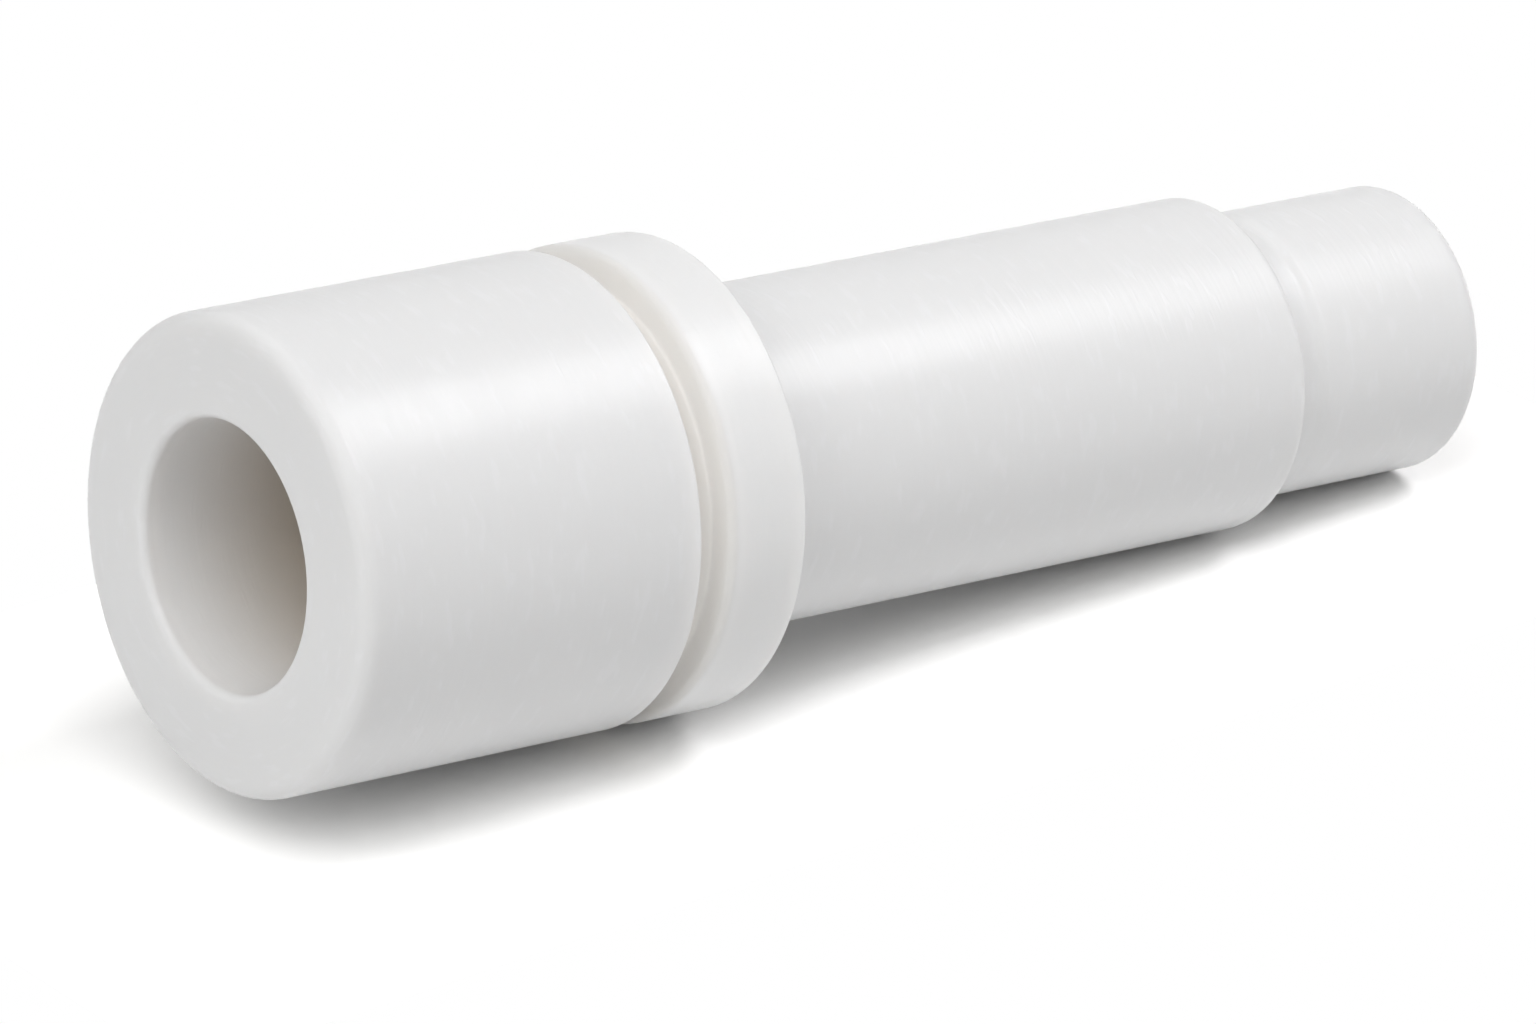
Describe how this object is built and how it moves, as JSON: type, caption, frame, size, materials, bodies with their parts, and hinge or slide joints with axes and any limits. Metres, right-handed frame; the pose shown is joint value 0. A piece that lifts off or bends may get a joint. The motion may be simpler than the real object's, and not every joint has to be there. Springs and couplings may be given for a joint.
{
  "type": "hollow turned rod",
  "caption": "Hollow white plastic rod, turned in one piece, with a grooved head and collar, a long shank and a stepped spigot.",
  "frame": {"origin": "centre of the head's annular face, on the rod's axis, where the rod stands", "axes": "+Z along the rod's axis, from the head towards the spigot; X and Y are square to it and equal, since the rod is round"},
  "size_m": [0.06, 0.06, 0.185],
  "materials": {
    "ptfe": "white waxy plastic as turned, slightly translucent, with very fine turning marks round the axis"
  },
  "bodies": {
    "root": {"hollow_rod": "ptfe"}
  },
  "joints": []
}
